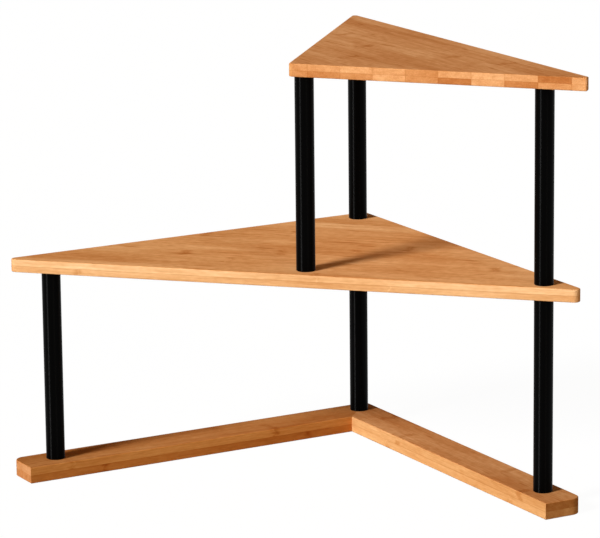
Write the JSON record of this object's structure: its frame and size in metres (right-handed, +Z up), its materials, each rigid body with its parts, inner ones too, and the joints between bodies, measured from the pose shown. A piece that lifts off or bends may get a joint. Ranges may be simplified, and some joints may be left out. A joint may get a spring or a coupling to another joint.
{
  "type": "corner shelf",
  "caption": "Corner shelf for a worktop: a triangular bamboo board on black steel tube posts over a V-shaped bamboo base, with a smaller board raised over its right side.",
  "frame": {"origin": "on the floor, under the middle of the whole object's box", "axes": "+X along the front edge of the lower shelf to the right, +Y back towards the room corner, +Z up"},
  "size_m": [0.4944, 0.2812, 0.364],
  "materials": {
    "bamboo": "laminated caramel bamboo strips under satin clear varnish",
    "black_steel": "satin black powder coat on steel tube",
    "plug_steel": "turned steel, zinc plated",
    "fastener_steel": "bright zinc plated steel",
    "insert_brass": "plain turned brass",
    "dowel_wood": "plain beech"
  },
  "bodies": {
    "root": {"base_bolts": "fastener_steel", "base_rail_left": "bamboo", "base_rail_right": "bamboo", "front_post_bolt": "fastener_steel", "lower_post_back": "black_steel", "lower_post_back_bottom_plug": "plug_steel", "lower_post_back_top_plug": "plug_steel", "lower_post_left": "black_steel", "lower_post_left_bottom_plug": "plug_steel", "lower_post_left_top_plug": "plug_steel", "lower_post_right": "black_steel", "lower_post_right_bottom_plug": "plug_steel", "lower_post_right_top_plug": "plug_steel", "lower_shelf": "bamboo", "lower_shelf_insert": "insert_brass", "lower_shelf_stud": "fastener_steel", "mitre_dowels": "dowel_wood", "tier_studs": "fastener_steel", "upper_post_back": "black_steel", "upper_post_back_bottom_plug": "plug_steel", "upper_post_back_top_plug": "plug_steel", "upper_post_front": "black_steel", "upper_post_front_bottom_plug": "plug_steel", "upper_post_front_top_plug": "plug_steel", "upper_post_right": "black_steel", "upper_post_right_bottom_plug": "plug_steel", "upper_post_right_top_plug": "plug_steel", "upper_shelf": "bamboo", "upper_shelf_inserts": "insert_brass", "upper_shelf_studs": "fastener_steel"}
  },
  "joints": []
}
